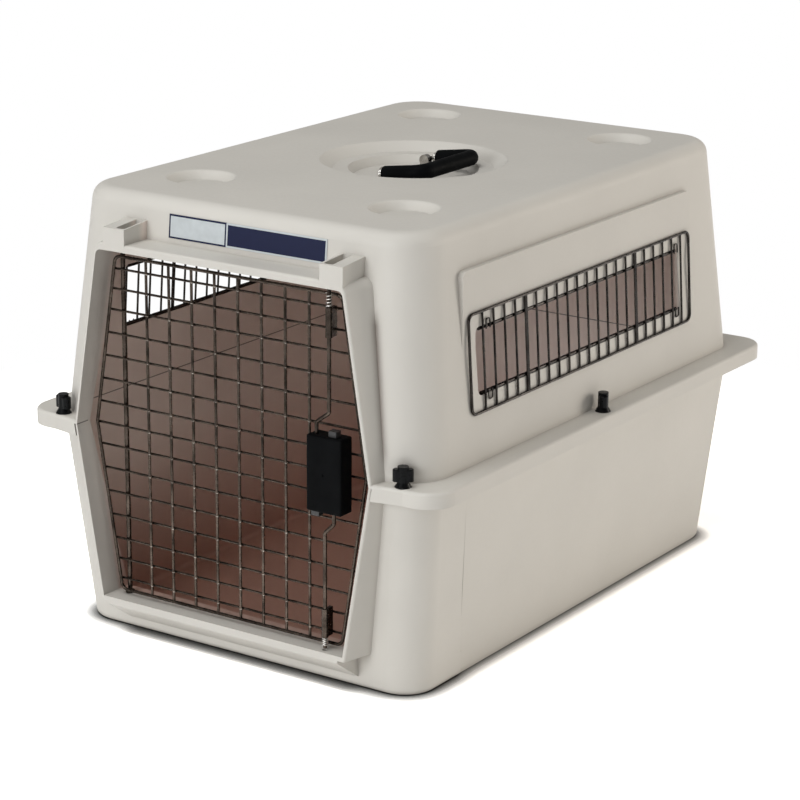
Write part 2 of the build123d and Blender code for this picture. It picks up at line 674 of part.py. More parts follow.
# ---------------------------------------------------------------- vent grilles
def grille_line():
    """Low and high ends of the grille's plane, resting on the wall and on the panel."""
    low = wall_x(GRILLE_Z[0]) + GRILLE_FRAME_R / cos(radians(ROOF_DRAFT)) + WELD_GAP
    panel = PANEL_HALF_W - (GRILLE_Z[1] - PANEL_LOW_Z) * tan(radians(PANEL_DRAFT))
    high = panel + GRILLE_FRAME_R / cos(radians(PANEL_DRAFT)) + WELD_GAP
    return Vector(low, 0, GRILLE_Z[0]), Vector(high, 0, GRILLE_Z[1])


def grille_plane():
    """Plane of the right grille's frame wire; its x runs along Y and its y up."""
    low, high = grille_line()
    along = Axis.Y.direction
    return Plane((low + high) / 2, x_dir=along, z_dir=along.cross(high - low))


def grille_half_height():
    low, high = grille_line()
    return (high - low).length / 2


def grille_v(z, depth=0.0):
    """Distance up the grille's plane of a level z, `depth` behind it."""
    plane = grille_plane()
    return (z - plane.origin.Z + depth * plane.z_dir.Z) / plane.y_dir.Z


def grille_frame():
    half = grille_half_height()
    low, high = GRILLE_Y
    corners = [(high, -half), (high, half), (low, half), (low, -half)]
    points = [grille_plane().from_local_coords((u, v, 0)) for u, v in corners]
    return bent_wire(points, GRILLE_FRAME_R, GRILLE_CORNER_R, close=True)


def grille_bar_line():
    """Evenly spaced bar positions along Y."""
    first, last = GRILLE_Y[0] + GRILLE_FIRST_IN, GRILLE_Y[1] - GRILLE_LAST_IN
    return evenly(first, last, GRILLE_BAR_PITCH)


def grille_bar_places():
    """Bar positions along Y, with two bars doubled."""
    places = grille_bar_line()
    doubled = [places.pop(i) for i in GRILLE_DOUBLED]
    spread = GRILLE_BAR_R + WELD_GAP
    return places + [y + side * spread for y in doubled for side in (-1, 1)]


def grille_bars():
    length = 2 * (grille_half_height() - GRILLE_FRAME_R)
    upright = Rot(90, 0, 0) * Cylinder(GRILLE_BAR_R, length)
    return [grille_plane() * Pos(y, 0, 0) * upright for y in grille_bar_places()]


def grille_rod_depth():
    """Distance of the thick rods behind the bars' plane."""
    return GRILLE_BAR_R + GRILLE_ROD_R + WELD_GAP


def grille_rod_levels():
    return [VENT_Z[0] + GRILLE_ROD_R, VENT_Z[1] - GRILLE_ROD_R]


def grille_rods():
    """Thick rods lying along the low and high edges of the vent."""
    length = VENT_Y[1] - VENT_Y[0] - 2 * VENT_CORNER_R
    rod = Rot(0, 90, 0) * Cylinder(GRILLE_ROD_R, length)
    depth = grille_rod_depth()
    places = [Pos(sum(VENT_Y) / 2, grille_v(z, depth), -depth) for z in grille_rod_levels()]
    return [grille_plane() * place * rod for place in places]


def grille_clips():
    """Wire loops that hang on the thick rods and lie on the wall outside."""
    depth = -grille_rod_depth() + GRILLE_ROD_R + CLIP_R + WELD_GAP
    line = grille_bar_line()
    spots = ((line[0] + line[1]) / 2, (line[-2] + line[-1]) / 2)
    clips = []
    for z, way in zip(grille_rod_levels(), (-1, 1)):
        near = grille_v(z) - way * GRILLE_ROD_R
        far = near + way * CLIP_DROP
        for y in spots:
            loop = [(y - CLIP_HALF_W, near), (y - CLIP_HALF_W, far), (y + CLIP_HALF_W, far), (y + CLIP_HALF_W, near)]
            points = [grille_plane().from_local_coords((u, v, depth)) for u, v in loop]
            clips.append(bent_wire(points, CLIP_R, CLIP_BEND_R))
    return clips


# ---------------------------------------------------------------- carrying handle
def handle_frame():
    """Plane of the folded handle; its x runs along the arms and its y across them."""
    along = Axis.X.direction.rotate(Axis.Y, -HANDLE_TILT)
    return Plane((PIVOT_X, HANDLE_Y, PIVOT_Z), x_dir=along, z_dir=along.cross(Axis.Y.direction))


def handle_points(corners):
    return [handle_frame().from_local_coords((u, v, 0)) for u, v in corners]


def handle_wire():
    """Steel bail whose turned-in ends sit in the posts' eyes."""
    span, end = HANDLE_HALF_SPAN, POST_OUTER_Y - POST_T
    corners = [(0, -end), (0, -span), (HANDLE_REACH, -span), (HANDLE_REACH, span), (0, span), (0, end)]
    return bent_wire(handle_points(corners), HANDLE_WIRE_R, HANDLE_WIRE_BEND_R)


def handle_grip():
    """Plastic sleeve over the bail's arms and crossbar."""
    span = HANDLE_HALF_SPAN
    corners = [(GRIP_START, -span), (HANDLE_REACH, -span), (HANDLE_REACH, span), (GRIP_START, span)]
    sleeve = bent_wire(handle_points(corners), GRIP_R, GRIP_BEND_R)
    ends = sleeve.edges().filter_by(GeomType.CIRCLE).filter_by(is_grip_end)
    return fillet(ends, GRIP_END_R) - handle_wire()


def is_grip_end(edge):
    local = handle_frame().to_local_coords(edge.center())
    return abs(local.X - GRIP_START) < 0.01


def handle_post():
    """Eye on a neck, with a flange on the recess floor and a stud below it."""
    eye = Rot(90, 0, 0) * Cylinder(POST_EYE_R, POST_T)
    neck = box((1 - POST_EYE_R, POST_EYE_R - 1), (-POST_T / 2, POST_T / 2), (-PIVOT_RISE, 0))
    bore = Rot(90, 0, 0) * Cylinder(HANDLE_WIRE_R + RUN_GAP, 2 * POST_T)
    post = Pos(0, 0, PIVOT_Z) * (eye + neck - bore)
    post += cylinder(0, 0, RECESS_Z, RECESS_Z + POST_FLANGE_T, POST_FLANGE_R)
    return post + cylinder(0, 0, RECESS_Z - WALL - POST_NUT_T - 1, RECESS_Z, POST_STUD_R)


def post_nut():
    top = RECESS_Z - WALL
    nut = extrude(Pos(0, 0, top - POST_NUT_T) * RegularPolygon(POST_NUT_R, 6), amount=POST_NUT_T)
    return nut - cylinder(0, 0, top - 2 * POST_NUT_T, top + 1, POST_STUD_R)


def at_posts(shape):
    return Compound([Pos(PIVOT_X, y) * shape.solid() for y in post_spots()])


# ---------------------------------------------------------------- door
def door_half(z):
    """Half-width of the door's outline wire at a height."""
    end_z = DOOR_TOP_Z if z > DOOR_MID_Z else DOOR_LOW_Z
    share = (z - DOOR_MID_Z) / (end_z - DOOR_MID_Z)
    return DOOR_HALF_MID + share * (DOOR_HALF_END - DOOR_HALF_MID)


def door_outline():
    """Six-sided outline wire."""
    end, mid = DOOR_HALF_END, DOOR_HALF_MID
    right = [(end, DOOR_LOW_Z), (mid, DOOR_MID_Z), (end, DOOR_TOP_Z)]
    corners = right + [(-x, z) for x, z in reversed(right)]
    return bent_wire([(x, DOOR_Y, z) for x, z in corners], OUTLINE_R, DOOR_CORNER_R, close=True)


def door_verticals():
    """Evenly spaced upright wires."""
    low, high = DOOR_LOW_Z + OUTLINE_R, DOOR_TOP_Z - OUTLINE_R
    edge = DOOR_HALF_END - VERTICAL_IN
    return [cylinder(x, VERTICAL_Y, low, high, VERTICAL_R) for x in evenly(-edge, edge, VERTICAL_PITCH)]


def cross_levels():
    """Heights of the cross wires, closer together in the middle, at the top and at the foot."""
    levels = [CROSS_MID_Z]
    for end, way in ((DOOR_LOW_Z + CROSS_LOW_IN, 1), (DOOR_TOP_Z - CROSS_TOP_IN, -1)):
        second = end + way * CROSS_END_STEP
        third = second + way * CROSS_NEXT_STEP
        levels += [end, second] + evenly(third, CROSS_MID_Z - way * CROSS_MID_STEP, CROSS_PITCH)
    return levels


def door_cross_wires():
    wires = []
    for z in cross_levels():
        wire = Rot(0, 90, 0) * Cylinder(CROSS_R, 2 * door_half(z))
        wires.append(Pos(0, CROSS_Y, z) * wire)
    return wires


def hinge_rod():
    rod = cylinder(HINGE_X, HINGE_Y, SILL_Z - HINGE_DOWN, LINTEL_Z + HINGE_UP, HINGE_R)
    return chamfer(rod.edges().filter_by(GeomType.CIRCLE), HINGE_CHAMFER)


def hinge_washer():
    """Collar on the hinge rod that carries the door on the sill."""
    collar = cylinder(HINGE_X, HINGE_Y, SILL_Z, SILL_Z + HINGE_WASHER_T, HINGE_WASHER_R)
    return collar - cylinder(HINGE_X, HINGE_Y, 0, LINTEL_Z, HINGE_R)


# ---------------------------------------------------------------- latch
def latch_box(inset, extra_rear=0.0):
    half = LATCH_W / 2 - inset
    tall = LATCH_H / 2 - inset
    return box(
        (LATCH_X - half, LATCH_X + half),
        (FRONT_Y + inset, LATCH_REAR_Y + extra_rear),
        (LATCH_Z - tall, LATCH_Z + tall),
    )


def screw_levels():
    """Heights of the latch screws, halfway between cross wires."""
    levels = sorted(cross_levels())
    middle = levels.index(CROSS_MID_Z)
    return [(levels[middle] + levels[middle + way]) / 2 for way in (-1, 1)]


def along_y(x, z, y_low, y_high, radius):
    """Cylinder along Y."""
    return Pos(x, (y_low + y_high) / 2, z) * Rot(90, 0, 0) * Cylinder(radius, y_high - y_low)


def slide_x_range(rod_x, gap=0.0):
    return (rod_x - SLIDE_W / 2 - gap, rod_x + SLIDE_W / 2 + gap)


def slide_y_range(gap=0.0):
    middle = ROD_Y + SLIDE_REAR_OFF
    return (middle - SLIDE_T / 2 - gap, middle + SLIDE_T / 2 + gap)


def latch_housing():
    """Box open at the back, with rod holes, tab slots and two screw bosses."""
    outer = latch_box(0)
    front_edges = outer.faces().sort_by(Axis.Y)[0].edges() + outer.edges().filter_by(Axis.Y)
    shell = fillet(front_edges, LATCH_EDGE_R) - latch_box(LATCH_WALL, 1)
    for z in screw_levels():
        shell += along_y(SCREW_X, z, FRONT_Y + 1, LATCH_REAR_Y, BOSS_R)
        shell -= along_y(SCREW_X, z, LATCH_REAR_Y - SCREW_DEPTH, LATCH_REAR_Y + 1, SCREW_R)
    foot = (LATCH_LOW_Z - 1, LATCH_LOW_Z + LATCH_WALL + 1)
    head = (LATCH_TOP_Z - LATCH_WALL - 1, LATCH_TOP_Z + 1)
    gap = SLIDE_SIDE_GAP
    shell -= box(slide_x_range(UPPER_ROD_BOX_X, gap), slide_y_range(gap), foot)
    shell -= box(slide_x_range(LOWER_ROD_BOX_X, gap), slide_y_range(gap), head)
    shell -= cylinder(UPPER_ROD_BOX_X, ROD_Y, *head, ROD_R + SLIDE_GAP)
    shell -= cylinder(LOWER_ROD_BOX_X, ROD_Y, *foot, ROD_R + SLIDE_GAP)
    return shell - along_y(LATCH_X, LATCH_Z, FRONT_Y - 1, FRONT_Y + LATCH_DOT_DEPTH, LATCH_DOT_R)


def latch_plate():
    """Back plate that clamps the housing to the cross wires."""
    front = CROSS_Y + CROSS_R
    half = LATCH_W / 2 - LATCH_PLATE_IN
    tall = LATCH_H / 2 - LATCH_PLATE_IN
    sides = (LATCH_X - half, LATCH_X + half)
    plate = box(sides, (front, front + LATCH_PLATE_T), (LATCH_Z - tall, LATCH_Z + tall))
    plate = fillet(plate.edges().filter_by(Axis.Y), LATCH_PLATE_R)
    for z in screw_levels():
        plate -= along_y(SCREW_X, z, front - 1, front + 2 * LATCH_PLATE_T, SCREW_R)
    return plate


def latch_screws():
    """Screws through the back plate into the housing's bosses."""
    rear = CROSS_Y + CROSS_R + LATCH_PLATE_T
    screws = []
    for z in screw_levels():
        shank = along_y(SCREW_X, z, LATCH_REAR_Y - SCREW_DEPTH, rear, SCREW_R)
        screws.append(shank + along_y(SCREW_X, z, rear, rear + SCREW_HEAD_T, 2 * SCREW_R))
    return screws


def cranked_rod(box_x, box_z, crank_z, way, tip_x, tip_z):
    """Rod from inside the housing, through a crank, to its tip."""
    corners = [(box_x, box_z), (box_x, crank_z), (tip_x, crank_z + way * CRANK_H), (tip_x, tip_z)]
    return bent_wire([(x, ROD_Y, z) for x, z in corners], ROD_R, ROD_BEND_R)


def upper_rod():
    low = LATCH_LOW_Z - TAB_H + SLIDE_H - ROD_IN_SLIDE
    crank = LATCH_TOP_Z + CRANK_GAP
    return cranked_rod(UPPER_ROD_BOX_X, low, crank, 1, UPPER_ROD_X, LINTEL_Z - ROD_TIP_GAP)


def lower_rod():
    crank = LATCH_LOW_Z - CRANK_GAP
    high = LATCH_TOP_Z + ROD_PROUD
    return cranked_rod(LOWER_ROD_BOX_X, high, crank, -1, LOWER_ROD_X, SILL_Z + ROD_TIP_GAP)


def latch_slide(rod_x, z_low, rod):
    """Finger slide moulded round one rod."""
    block = box(slide_x_range(rod_x), slide_y_range(), (z_low, z_low + SLIDE_H))
    return fillet(block.edges().filter_by(Axis.Z), SLIDE_EDGE_R) - rod


def upper_slide():
    return latch_slide(UPPER_ROD_BOX_X, LATCH_LOW_Z - TAB_H, upper_rod())


def lower_slide():
    return latch_slide(LOWER_ROD_BOX_X, LATCH_TOP_Z + TAB_H - SLIDE_H, lower_rod())


def rod_guides():
    """Tubes that guide the rods, each on a tongue welded to the cross wires."""
    guides = []
    lower_z = SILL_Z + GUIDE_ABOVE_SILL
    upper_z = LINTEL_Z - GUIDE_BELOW_LINTEL - GUIDE_L
    half = GUIDE_TONGUE_W / 2
    for x, low in ((LOWER_ROD_X, lower_z), (UPPER_ROD_X, upper_z)):
        high = low + GUIDE_L
        tongue = box((x - half, x + half), (ROD_Y, LATCH_REAR_Y), (low, high))
        tube = cylinder(x, ROD_Y, low, high, GUIDE_R)
        guides.append(tube + tongue - cylinder(x, ROD_Y, low - 1, high + 1, ROD_R + SLIDE_GAP))
    return guides


# ---------------------------------------------------------------- label
def label_plate():
    """Blank plate lying on the leaning front wall."""
    high = ROOF_Z - LABEL_TOP_DROP
    low = high - LABEL_H
    rings = []
    for x in (LABEL_LEFT_X, LABEL_RIGHT_X):
        skin = [(x, wall_y(low), low), (x, wall_y(high), high)]
        rings.append(skin + [(x, wall_y(high) - LABEL_T, high), (x, wall_y(low) - LABEL_T, low)])
    return flat_sided(*rings)


# ---------------------------------------------------------------- all pieces
def compound(shapes):
    return Compound([solid for shape in shapes for solid in shape.solids()])


def vent_pieces():
    """Nodes of the right grille and its mirror image on the left."""
    right = {
        "frame": grille_frame(),
        "bars": compound(grille_bars()),
        "rods": compound(grille_rods()),
        "clips": compound(grille_clips()),
    }
    pieces = {f"right_vent_{name}": shape for name, shape in right.items()}
    for name, shape in right.items():
        pieces[f"left_vent_{name}"] = mirror(shape, Plane.YZ)
    return pieces


def knobs():
    """The six knobs, each stopped at its own angle."""
    made = {}
    for (x, y), turn in zip(bolt_spots(), KNOB_TURNS):
        made[knob_name(x, y)] = Pos(x, y) * Rot(0, 0, turn) * wing_knob()
    return made


def pieces():
    return {
        "upper_shell": upper_shell(),
        "lower_shell": lower_shell(),
        "flange_bolts": at_bolts(flange_bolt()),
        "flange_washers": at_bolts(flange_washer()),
        "handle_wire": handle_wire(),
        "handle_grip": handle_grip(),
        "handle_posts": at_posts(handle_post()),
        "handle_post_nuts": at_posts(post_nut()),
        "door_outline_wire": door_outline(),
        "door_vertical_wires": compound(door_verticals()),
        "door_cross_wires": compound(door_cross_wires()),
        "hinge_rod": hinge_rod(),
        "hinge_washer": hinge_washer(),
        "latch_housing": latch_housing(),
        "latch_back_plate": latch_plate(),
        "latch_screws": compound(latch_screws()),
        "upper_latch_rod": upper_rod(),
        "upper_latch_slide": upper_slide(),
        "lower_latch_rod": lower_rod(),
        "lower_latch_slide": lower_slide(),
        "rod_guides": compound(rod_guides()),
        "label_plate": label_plate(),
        **knobs(),
        **vent_pieces(),
    }


os.makedirs("parts", exist_ok=True)
for node, shape in pieces().items():
    export_step(shape, f"parts/{node}.step")
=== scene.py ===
import json
import math

import bmesh
import bpy
from mathutils import Matrix, Vector


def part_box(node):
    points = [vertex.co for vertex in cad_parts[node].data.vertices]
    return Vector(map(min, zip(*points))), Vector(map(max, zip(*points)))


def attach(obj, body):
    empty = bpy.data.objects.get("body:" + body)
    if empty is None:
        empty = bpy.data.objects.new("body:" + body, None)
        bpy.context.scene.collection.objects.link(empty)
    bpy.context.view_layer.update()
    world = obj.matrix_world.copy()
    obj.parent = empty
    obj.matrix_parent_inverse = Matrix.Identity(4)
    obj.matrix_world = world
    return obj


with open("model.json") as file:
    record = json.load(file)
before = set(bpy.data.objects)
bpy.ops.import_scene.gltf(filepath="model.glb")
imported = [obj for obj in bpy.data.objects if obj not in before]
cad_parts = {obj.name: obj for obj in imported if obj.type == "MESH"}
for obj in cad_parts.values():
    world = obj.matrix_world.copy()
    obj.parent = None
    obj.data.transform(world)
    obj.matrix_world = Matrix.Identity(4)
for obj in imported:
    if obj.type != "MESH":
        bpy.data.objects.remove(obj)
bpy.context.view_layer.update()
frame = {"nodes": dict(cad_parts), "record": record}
nodes = frame["nodes"]

# ---------------------------------------------------------------- camera and light
CAMERA_PLACE = (1.6024, -2.4213, 1.06815)
CAMERA_AZIMUTH = 33.748         # degrees, like the next two
CAMERA_ELEVATION = 16.614
CAMERA_ROLL = 0.429
CAMERA_LENS = 122.12            # mm
CAMERA_SENSOR = 36.0

LIT_POINT = (0.0, 0.0, 0.25)    # what the lamps look at
# name: place, size, watts, colour
LAMPS = {
    "key": ((-0.3, -3.95, 1.4), (2.0, 1.6), 69.0, (0.975, 0.99, 1.0)),
    "side": ((2.75, 2.5, 1.0), (1.8, 1.4), 52.0, (1.0, 0.925, 0.83)),
    "overhead": ((-0.35, -0.9, 3.3), (2.0, 2.0), 38.0, (1.0, 1.0, 0.98)),
}
WORLD_COLOR = (1.0, 0.985, 0.96, 1.0)
WORLD_LEVEL = 0.27

FLOOR_SIZE = 24
FLOOR_SEEN = 2.6                # the floor's brightness to the eye
FLOOR_LIT = (0.95, 0.94, 0.93)  # its colour to the object
FLOOR_WHITE_R = 0.75            # it turns plain white beyond this distance
FLOOR_FADE = 0.25
CONTACT_REACH = 0.020           # how far the contact shadow reaches
CONTACT_POWER = 3.0
CONTACT_SAMPLES = 16

# ---------------------------------------------------------------- shell
SHELL = (0.655, 0.632, 0.588)
SHELL_SHADES = (0.97, 1.02)     # its darkest and lightest share
# Inside the cabin the same plastic is painted: lighter and warmer for its bounce light, darker
# and redder towards the floor for its shade
PAINTED_INSIDE_LIGHT = (0.86, 0.76, 0.70)
PAINTED_INSIDE_SHADE = (0.50, 0.29, 0.23)
INSIDE_FADE = (0.0, 0.17)       # heights between which the painted shade near the floor turns into the less red painted inside light
SHELL_ROUGHNESS = (0.42, 0.55)
SHELL_SPECULAR = 0.35
SHELL_BUMP = (0.18, 0.0006)     # strength and distance
MOTTLE_SCALE = 9.0              # noise scales are per metre
RIPPLE_SCALE = 14.0
RIPPLE_SHARE = 1.5              # of the grain
GLOSS_SCALE = 260.0
GRAIN_SCALE = 1500.0

PART_Z = 0.230                  # where the two shells meet
SEAM_HALF = 0.0006
SEAM_REACH = 0.185              # the seam shows this far from the middle, in front
SEAM_SHADE = 0.3
BODY_FRONT_Y = -0.336
TUB_HALF_W = 0.236              # at the meeting plane
TUB_INNER_LEAN = 0.1033
WALL_REACH = 0.0024             # a little less than the wall
CEILING_Z = 0.455               # above this only downward faces belong to the cabin
DOWNWARD = -0.2
CABIN_MIDDLE = (0.0, -0.002, PART_Z)
INWARD = (0.03, 0.06)           # how far a lining face looks towards the middle
DOOR_FADE = (-0.331, -0.322)    # depths between which the painted inside light and shade starts

# Painted shade: brown darkening from the occlusion in corners and beside the upper surround,
# standing in for their shade
CORNER_SHADE = 0.40                    # most painted shade in the corners
CORNER_SHADE_REACH = 0.008
CORNER_SHADE_OPENNESS = (0.25, 0.95)   # full painted shade at the first, none at the second
PAINTED_SHADE_COLOR = (0.17, 0.135, 0.115)
SHADE_SAMPLES = 12
CREASE_SHADE = 0.90             # painted shadow where the upper surround meets the front wall
CREASE_REACH = 0.015
CREASE_OPENNESS = (0.62, 0.92)
CREASE_RISE = (0.240, 0.262)    # heights over which it starts and ends
CREASE_FADE = (0.385, 0.405)
CREASE_Y = -0.318

# ---------------------------------------------------------------- other materials
BLACK = (0.0025, 0.0028, 0.0032)
# name: colour, roughness, specular
PLASTICS = {
    "black_plastic": (BLACK, 0.50, 0.03),
    "knob_plastic": (BLACK, 0.30, 0.12),
    "grey_plastic": ((0.022, 0.022, 0.023), 0.35, 0.5),
}
WORN_SHARE = 1.5                # of the colour, where the plastic is worn
WORN_LIFT = 0.001
PLASTIC_WEAR_SCALE = 60.0
PLASTIC_WEAR_SPAN = (0.35, 0.75)
PLASTIC_GLOSS_SCALE = 300.0
PLASTIC_GLOSS = (-0.06, 0.08)   # added to the roughness
PLASTIC_GRAIN_SCALE = 1800.0
PLASTIC_BUMP = (0.12, 0.0004)
# name: plated colour, dulled colour, roughness
STEELS = {
    "door_steel": ((0.085, 0.068, 0.056), (0.028, 0.022, 0.018), 0.25),
    "bright_steel": ((0.62, 0.60, 0.57), (0.30, 0.28, 0.26), 0.22),
    "fastener_steel": ((0.50, 0.50, 0.49), (0.26, 0.25, 0.24), 0.30),
    "vent_steel": ((0.050, 0.044, 0.040), (0.014, 0.012, 0.011), 0.22),
    "small_steel": ((0.92, 0.90, 0.87), (0.55, 0.53, 0.50), 0.30),
    "weld_steel": ((0.42, 0.39, 0.35), (0.20, 0.17, 0.15), 0.38),
}
STEEL_PATCH_SCALE = 45.0
STEEL_PATCH_SPAN = (0.4, 0.65)
STEEL_PATCH_ROUGHNESS = 0.6     # of the noise
STEEL_GLOSS_SCALE = 240.0
STEEL_GLOSS = (-0.07, 0.1)
STEEL_GRAIN_SCALE = 900.0
STEEL_BUMP = (0.10, 0.0003)
DARK_RODS = ("upper_latch_rod", "lower_latch_rod")  # as dark as the door's wires
NOISE_SPAN = (0.3, 0.7)         # holds nearly all of a noise's values

LABEL_WHITE = (0.56, 0.60, 0.62)
LABEL_NAVY = (0.006, 0.010, 0.045)
LABEL_SPLIT = 0.37              # share of the label's width that is white
LABEL_EDGE = 0.0018
LABEL_PRINT = (0.94, 1.04)      # unevenness of the print
LABEL_PRINT_SCALE = 120.0
LABEL_ROUGHNESS = 0.4
LABEL_SPECULAR = 0.25
LABEL_GRAIN_SCALE = 400.0
LABEL_BUMP = (0.05, 0.0002)

# ---------------------------------------------------------------- small steel pieces
RING_STEPS = 20
WIRE_STEPS = 6
WELD_R = 0.0018
WELD_OUT = 0.0013               # beads sit this far in front of the wires' contact
LATCH_ROD_X = (0.1275, 0.1325)  # at the lower rod's foot and the upper rod's top
COIL_R = 0.0028
COIL_WIRE_R = 0.0006
COIL_TURNS = 4.5
COIL_SHARE = 0.8                # of the rod's length past its guide
HANDLE_TILT = 8.2               # degrees
PIVOT_X = -0.007
PIVOT_Z = 0.468
GRIP_R = 0.0085
GRIP_START = 0.008              # along the arm, from the pivot
COLLAR_R = 0.0044
COLLAR_WIRE_R = 0.0012
COLLAR_STEPS = (0.0004, 0.0022, 0.0040)     # back from the grip's end


# ---------------------------------------------------------------- shader helpers
class Shader:
    """A material's node tree with short calls for the nodes used here."""

    def __init__(self, name):
        self.material = bpy.data.materials.new(name)
        self.material.use_nodes = True
        self.tree = self.material.node_tree
        self.surface = self.tree.nodes["Principled BSDF"]
        self.output = self.tree.nodes["Material Output"]
        self.place = self.node("ShaderNodeTexCoord").outputs["Object"]

    def node(self, kind, **settings):
        made = self.tree.nodes.new(kind)
        for key, value in settings.items():
            setattr(made, key, value)
        return made

    def put(self, value, socket):
        """Links an output to a socket, or sets a constant on it."""
        if isinstance(value, bpy.types.NodeSocket):
            self.tree.links.new(value, socket)
        elif isinstance(value, tuple) and len(value) == 3 and len(socket.default_value) == 4:
            socket.default_value = (*value, 1.0)
        else:
            socket.default_value = value

    def set(self, **values):
        """Sets inputs of the surface by name, with _ for a space."""
        for key, value in values.items():
            self.put(value, self.surface.inputs[key.replace("_", " ")])

    def math(self, operation, a, b=0.0):
        made = self.node("ShaderNodeMath", operation=operation)
        self.put(a, made.inputs[0])
        self.put(b, made.inputs[1])
        return made.outputs[0]

    def product(self, first, *others):
        for other in others:
            first = self.math("MULTIPLY", first, other)
        return first

    def vector(self, operation, a, b):
        """Vector Math node with its first two inputs set."""
        made = self.node("ShaderNodeVectorMath", operation=operation)
        self.put(a, made.inputs[0])
        self.put(b, made.inputs[1])
        return made

    def near(self, value, line, width):
        """1 where the value is less than the width away from the line."""
        away = self.math("ABSOLUTE", self.math("SUBTRACT", value, line))
        return self.math("LESS_THAN", away, width)

    def remap(self, value, span, out_low=0.0, out_high=1.0):
        made = self.node("ShaderNodeMapRange")
        made.inputs["From Min"].default_value, made.inputs["From Max"].default_value = span
        made.inputs["To Min"].default_value = out_low
        made.inputs["To Max"].default_value = out_high
        self.put(value, made.inputs["Value"])
        return made.outputs["Result"]

    def mix(self, share, a, b):
        made = self.node("ShaderNodeMix", data_type="RGBA")
        self.put(share, made.inputs["Factor"])
        self.put(a, made.inputs[6])
        self.put(b, made.inputs[7])
        return made.outputs[2]

    def axis(self, name, vector=None):
        """One axis of the given vector, or else of the object's own coordinates."""
        split = self.node("ShaderNodeSeparateXYZ")
        self.put(vector or self.place, split.inputs[0])
        return split.outputs[name]

    def noise(self, scale, detail=2.0, roughness=0.5):
        made = self.node("ShaderNodeTexNoise")
        self.put(self.place, made.inputs["Vector"])
        made.inputs["Scale"].default_value = scale
        made.inputs["Detail"].default_value = detail
        made.inputs["Roughness"].default_value = roughness
        return made.outputs["Fac"]

    def spread(self, scale, detail, low, high):
        """Noise between the two values."""
        return self.remap(self.noise(scale, detail), NOISE_SPAN, low, high)

    def openness(self, reach, samples):
        """1 in the open, and less in a corner that is nearer than the reach."""
        made = self.node("ShaderNodeAmbientOcclusion", samples=samples)
        made.inputs["Distance"].default_value = reach
        return made.outputs["AO"]

    def bump(self, height, strength, distance):
        made = self.node("ShaderNodeBump")
        made.inputs["Strength"].default_value = strength
        made.inputs["Distance"].default_value = distance
        self.put(height, made.inputs["Height"])
        self.put(made.outputs[0], self.surface.inputs["Normal"])


def scaled(color, share, lift=0.0):
    return tuple(c * share + lift for c in color)


# ---------------------------------------------------------------- materials
def within_tub(s, height):
    """1 above the meeting plane, and below it only between the tub's leaning walls."""
    drop = s.math("SUBTRACT", PART_Z, height)
    room = s.math("SUBTRACT", TUB_HALF_W - WALL_REACH, s.math("MULTIPLY", drop, TUB_INNER_LEAN))
    between = s.math("LESS_THAN", s.math("ABSOLUTE", s.axis("X")), room)
    return s.math("MAXIMUM", between, s.math("LESS_THAN", drop, 0.0))


def cabin_mask(s, height):
    """1 on the faces that line the cabin."""
    normal = s.node("ShaderNodeNewGeometry").outputs["True Normal"]
    to_middle = s.vector("SUBTRACT", CABIN_MIDDLE, s.place).outputs[0]
    facing = s.vector("DOT_PRODUCT", normal, to_middle).outputs["Value"]
    downward = s.math("LESS_THAN", s.axis("Z", normal), DOWNWARD)
    below_roof = s.math("MAXIMUM", s.math("LESS_THAN", height, CEILING_Z), downward)
    return s.product(
        s.remap(facing, INWARD),
        s.remap(s.axis("Y"), DOOR_FADE),
        below_roof,
        within_tub(s, height),
    )


def seam_mask(s, height, inside):
    """1 along the line where the two shells meet, in the cabin and on the surround."""
    central = s.math("LESS_THAN", s.math("ABSOLUTE", s.axis("X")), SEAM_REACH)
    surround = s.product(central, s.math("LESS_THAN", s.axis("Y"), BODY_FRONT_Y))
    return s.product(s.near(height, PART_Z, SEAM_HALF), s.math("MAXIMUM", inside, surround))


def painted_shade_mask(s, height):
    """Share of painted shade: some in each corner, most beside the upper surround."""
    corners = s.openness(CORNER_SHADE_REACH, SHADE_SAMPLES)
    crease = s.openness(CREASE_REACH, SHADE_SAMPLES)
    beside_surround = s.product(
        s.remap(height, CREASE_RISE),
        s.remap(height, CREASE_FADE, 1.0, 0.0),
        s.math("LESS_THAN", s.axis("Y"), CREASE_Y),
        s.remap(crease, CREASE_OPENNESS, CREASE_SHADE, 0.0),
    )
    return s.math("MAXIMUM", s.remap(corners, CORNER_SHADE_OPENNESS, CORNER_SHADE, 0.0), beside_surround)


def shell_material():
    """Warm off-white moulded plastic with a fine grain, painted browner inside the cabin for
    its bounce light and shade, and painted darker in its corners for their shade.
    """
    s = Shader("shell_plastic")
    height = s.axis("Z")
    inside = cabin_mask(s, height)
    mottle = s.spread(MOTTLE_SCALE, 3.0, 0.0, 1.0)
    outer = s.mix(mottle, *[scaled(SHELL, share) for share in SHELL_SHADES])
    # painted bounce light in the cabin, with painted shade towards the floor
    painted_inside = s.mix(s.remap(height, INSIDE_FADE), PAINTED_INSIDE_SHADE, PAINTED_INSIDE_LIGHT)
    plastic = s.mix(inside, outer, painted_inside)
    plastic = s.mix(seam_mask(s, height, inside), plastic, scaled(SHELL, SEAM_SHADE))
    # painted shade darkens the corners and the crease beside the upper surround
    s.set(Base_Color=s.mix(painted_shade_mask(s, height), plastic, PAINTED_SHADE_COLOR))
    s.set(Roughness=s.spread(GLOSS_SCALE, 2.0, *SHELL_ROUGHNESS))
    s.set(Specular_IOR_Level=SHELL_SPECULAR)
    ripple = s.math("MULTIPLY", s.noise(RIPPLE_SCALE, 1.0), RIPPLE_SHARE)
    s.bump(s.math("ADD", s.noise(GRAIN_SCALE), ripple), *SHELL_BUMP)
    return s.material


